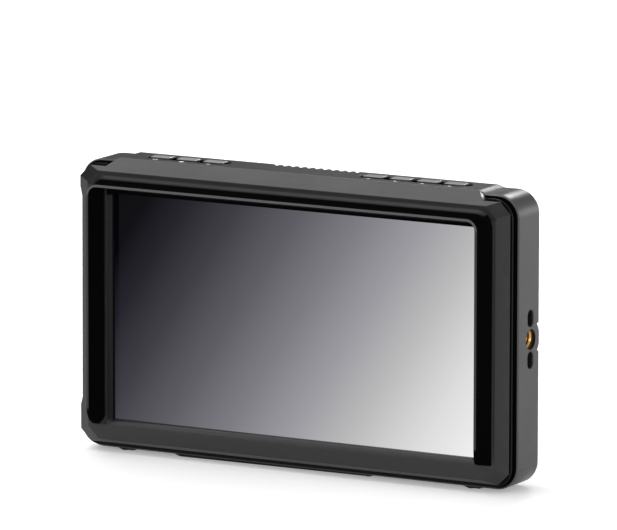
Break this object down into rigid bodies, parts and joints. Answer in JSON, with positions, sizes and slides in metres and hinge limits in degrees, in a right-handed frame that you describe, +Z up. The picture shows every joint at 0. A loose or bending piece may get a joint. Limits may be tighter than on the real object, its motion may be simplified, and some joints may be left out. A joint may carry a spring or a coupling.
{
  "type": "camera field monitor",
  "caption": "Black on-camera field monitor with a moulded hood rim round its flat screen, press keys along the top, threaded side and bottom sockets and a battery plate behind.",
  "frame": {"origin": "on the ground below the middle of the monitor's bounding box", "axes": "+X to the viewer's right along the screen, -Y out of the screen towards the viewer, +Z up"},
  "size_m": [0.159, 0.0344, 0.0964],
  "materials": {
    "casing_black": "fine satin texture, moulded",
    "frame_black": "matt",
    "plate_black": "matt, moulded",
    "tray_black": "matt",
    "jack_black": "smooth",
    "button_grey": "satin",
    "key_grey": "satin",
    "screen_glass": "polished cover glass, dark when the screen is off",
    "lcd_cell": "smooth",
    "diffuser_white": "matt film",
    "acrylic_clear": "polished",
    "led_white": "plain",
    "sheet_steel": "plain sheet",
    "board_green": "solder mask",
    "chip_black": "matt",
    "aluminium_plain": "plain",
    "ribbon_amber": "smooth film",
    "socket_nickel": "plated sheet",
    "brass": "turned",
    "screw_steel": "plain",
    "screw_black": "blackened"
  },
  "bodies": {
    "casing": {"front_bezel": "casing_black", "mid_frame": "frame_black", "rear_shell": "casing_black", "screen_glass": "screen_glass", "lcd_cell": "lcd_cell", "diffuser_sheet": "diffuser_white", "light_guide": "acrylic_clear", "led_strip": "led_white", "backlight_tray": "sheet_steel", "mainboard": "board_green", "video_chip": "chip_black", "heat_sink": "aluminium_plain", "board_chips": "chip_black", "capacitors": "aluminium_plain", "display_ribbon": "ribbon_amber", "key_board": "board_green", "key_switches": "sheet_steel", "key_ribbon": "ribbon_amber", "key_tray_left": "tray_black", "key_tray_right": "tray_black", "hdmi_in_socket": "socket_nickel", "hdmi_out_socket": "socket_nickel", "headphone_jack": "jack_black", "power_jack": "jack_black", "power_jack_pin": "brass", "side_thread_insert": "brass", "bottom_thread_insert": "brass", "battery_plate": "plate_black", "contact_block": "frame_black", "contact_blades": "brass", "release_spring": "screw_steel", "case_screws": "screw_black", "board_screws": "screw_steel", "key_board_screws": "screw_steel", "plate_screws": "screw_black"},
    "key_left_1": {"key_left_1": "key_grey"},
    "key_left_2": {"key_left_2": "key_grey"},
    "key_left_3": {"key_left_3": "key_grey"},
    "key_right_1": {"key_right_1": "key_grey"},
    "key_right_2": {"key_right_2": "key_grey"},
    "key_right_3": {"key_right_3": "key_grey"},
    "key_right_4": {"key_right_4": "key_grey"},
    "release_button": {"release_button": "button_grey"}
  },
  "joints": [
    {"name": "key_left_1_press", "type": "slide", "parent": "casing", "child": "key_left_1", "axis": [0, 0, -1], "range_m": [0, 0.0005], "stiffness_N_per_m": 1500, "springref_m": -0.0005},
    {"name": "key_left_2_press", "type": "slide", "parent": "casing", "child": "key_left_2", "axis": [0, 0, -1], "range_m": [0, 0.0005], "stiffness_N_per_m": 1500, "springref_m": -0.0005},
    {"name": "key_left_3_press", "type": "slide", "parent": "casing", "child": "key_left_3", "axis": [0, 0, -1], "range_m": [0, 0.0005], "stiffness_N_per_m": 1500, "springref_m": -0.0005},
    {"name": "key_right_1_press", "type": "slide", "parent": "casing", "child": "key_right_1", "axis": [0, 0, -1], "range_m": [0, 0.0005], "stiffness_N_per_m": 1500, "springref_m": -0.0005},
    {"name": "key_right_2_press", "type": "slide", "parent": "casing", "child": "key_right_2", "axis": [0, 0, -1], "range_m": [0, 0.0005], "stiffness_N_per_m": 1500, "springref_m": -0.0005},
    {"name": "key_right_3_press", "type": "slide", "parent": "casing", "child": "key_right_3", "axis": [0, 0, -1], "range_m": [0, 0.0005], "stiffness_N_per_m": 1500, "springref_m": -0.0005},
    {"name": "key_right_4_press", "type": "slide", "parent": "casing", "child": "key_right_4", "axis": [0, 0, -1], "range_m": [0, 0.0005], "stiffness_N_per_m": 1500, "springref_m": -0.0005},
    {"name": "release_press", "type": "slide", "parent": "casing", "child": "release_button", "axis": [0, -1, 0], "range_m": [0, 0.002], "stiffness_N_per_m": 800, "springref_m": -0.002, "deforming": ["release_spring"]}
  ]
}
